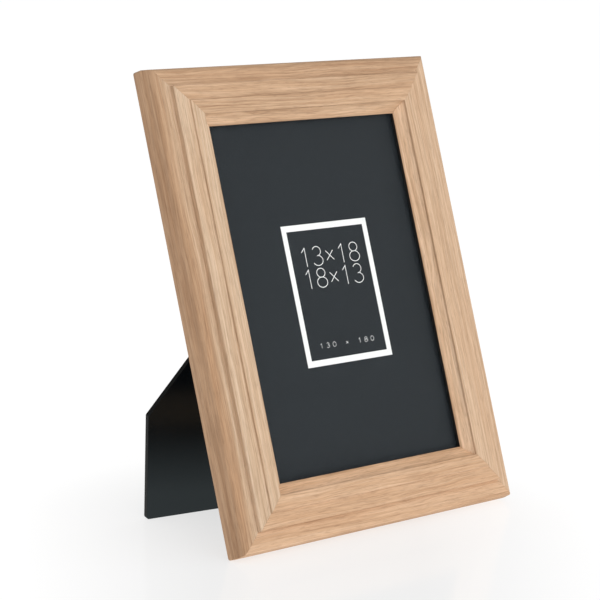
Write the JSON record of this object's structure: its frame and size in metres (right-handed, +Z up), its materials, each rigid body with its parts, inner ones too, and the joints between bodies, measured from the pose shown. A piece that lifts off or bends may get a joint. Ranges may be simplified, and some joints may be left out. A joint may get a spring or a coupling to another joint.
{
  "type": "easel back photo frame",
  "caption": "Oak picture frame with a stepped moulding, glazed, standing tilted back on a hinged black board leg behind it, upright or on its side.",
  "frame": {"origin": "centre of the standing frame's footprint, on the surface it stands on", "axes": "+Z up, -Y the way the picture faces, +X to the right as seen from the front"},
  "size_m": [0.181, 0.0988, 0.2226],
  "materials": {
    "oak": "fine-brushed oak under a thin matt oil",
    "clear_glass": "clear, polished",
    "charcoal_card": "matt printed card with a thin white outline",
    "corrugated_board": "raw corrugated board",
    "hardboard": "thin hardboard faced with black paper",
    "black_board": "board wrapped in satin black paper",
    "zinc_steel": "zinc-plated pressed steel",
    "button_steel": "zinc-plated, tumbled edges",
    "screw_steel": "zinc-plated",
    "hanger_steel": "brass-plated strip and nails",
    "nail_steel": "plain rolled strip, cut edges"
  },
  "bodies": {
    "frame": {"frame_rail_bottom": "oak", "frame_rail_top": "oak", "frame_rail_left": "oak", "frame_rail_right": "oak", "corner_v_nails": "nail_steel", "glass_pane": "clear_glass", "insert_card": "charcoal_card", "filler_board": "corrugated_board", "back_panel": "hardboard", "hinge_panel_leaf": "zinc_steel", "hinge_pin": "zinc_steel", "hinge_panel_rivets": "zinc_steel", "turn_button_screws": "screw_steel", "hanger_portrait": "hanger_steel", "hanger_landscape": "hanger_steel", "hanger_nails": "hanger_steel"},
    "leg": {"leg_board": "black_board", "hinge_leg_leaf": "zinc_steel", "hinge_leg_rivets": "zinc_steel"},
    "button_1": {"turn_button_1": "button_steel"},
    "button_2": {"turn_button_2": "button_steel"},
    "button_3": {"turn_button_3": "button_steel"},
    "button_4": {"turn_button_4": "button_steel"},
    "button_5": {"turn_button_5": "button_steel"},
    "button_6": {"turn_button_6": "button_steel"}
  },
  "joints": [
    {"name": "leg_fold", "type": "hinge", "parent": "frame", "child": "leg", "pos_m": [0.0117, 0.00773, 0.14248], "axis": [-0.9537, 0.0889, 0.2873], "range_deg": [0, 29.25]},
    {"name": "button_1_turn", "type": "hinge", "parent": "frame", "child": "button_1", "pos_m": [-0.072, -0.0072, 0.10031], "axis": [0, 0.9553, -0.2955], "continuous": true},
    {"name": "button_2_turn", "type": "hinge", "parent": "frame", "child": "button_2", "pos_m": [-0.072, 0.01437, 0.17005], "axis": [0, 0.9553, -0.2955], "continuous": true},
    {"name": "button_3_turn", "type": "hinge", "parent": "frame", "child": "button_3", "pos_m": [-0.038, 0.02457, 0.20301], "axis": [0, 0.9553, -0.2955], "continuous": true},
    {"name": "button_4_turn", "type": "hinge", "parent": "frame", "child": "button_4", "pos_m": [0.072, 0.01437, 0.17005], "axis": [0, 0.9553, -0.2955], "continuous": true},
    {"name": "button_5_turn", "type": "hinge", "parent": "frame", "child": "button_5", "pos_m": [0.072, -0.02286, 0.04968], "axis": [0, 0.9553, -0.2955], "continuous": true},
    {"name": "button_6_turn", "type": "hinge", "parent": "frame", "child": "button_6", "pos_m": [0.032, -0.03276, 0.01767], "axis": [0, 0.9553, -0.2955], "continuous": true}
  ]
}
